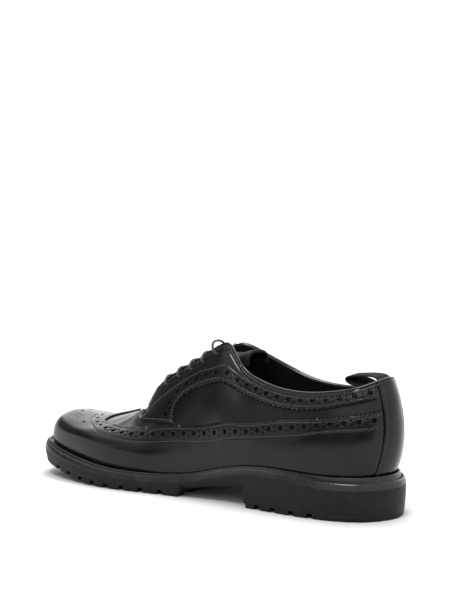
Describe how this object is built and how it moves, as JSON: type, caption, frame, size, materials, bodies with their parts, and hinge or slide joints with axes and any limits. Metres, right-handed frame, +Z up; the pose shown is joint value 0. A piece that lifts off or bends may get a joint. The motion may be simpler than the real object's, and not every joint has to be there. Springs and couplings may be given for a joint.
{
  "type": "longwing brogue shoe",
  "caption": "Black longwing brogue derby shoe with a punched wing, eyelet facings and collar band, straight-bar lacing and a lugged rubber sole with heel.",
  "frame": {"origin": "middle of the sole's outline, on the floor", "axes": "+X towards the toe, +Y towards the medial side, +Z up"},
  "size_m": [0.302, 0.1014, 0.1094],
  "materials": {
    "sole_rubber": "matte black moulded rubber",
    "welt_edge": "satin black edge band with a stitched groove",
    "insole_sock": "plain black leather sock",
    "vamp_calf": "polished black calf",
    "wing_calf": "polished black calf, punched",
    "facing_calf_medial": "polished black calf, punched",
    "facing_calf_lateral": "polished black calf, punched",
    "backstay_calf": "polished black calf",
    "tongue_calf": "soft black calf",
    "lace_cotton": "thin round waxed black cord",
    "tab_webbing": "matte black woven webbing"
  },
  "bodies": {
    "root": {"outsole": "sole_rubber", "welt": "welt_edge", "insole": "insole_sock", "upper": "vamp_calf", "wing": "wing_calf", "facing_medial": "facing_calf_medial", "facing_lateral": "facing_calf_lateral", "backstay": "backstay_calf", "tongue": "tongue_calf", "lace_bar_1": "lace_cotton", "lace_bar_2": "lace_cotton", "lace_bar_3": "lace_cotton", "lace_bar_4": "lace_cotton", "lace_bar_5": "lace_cotton", "pull_tab": "tab_webbing"}
  },
  "joints": []
}
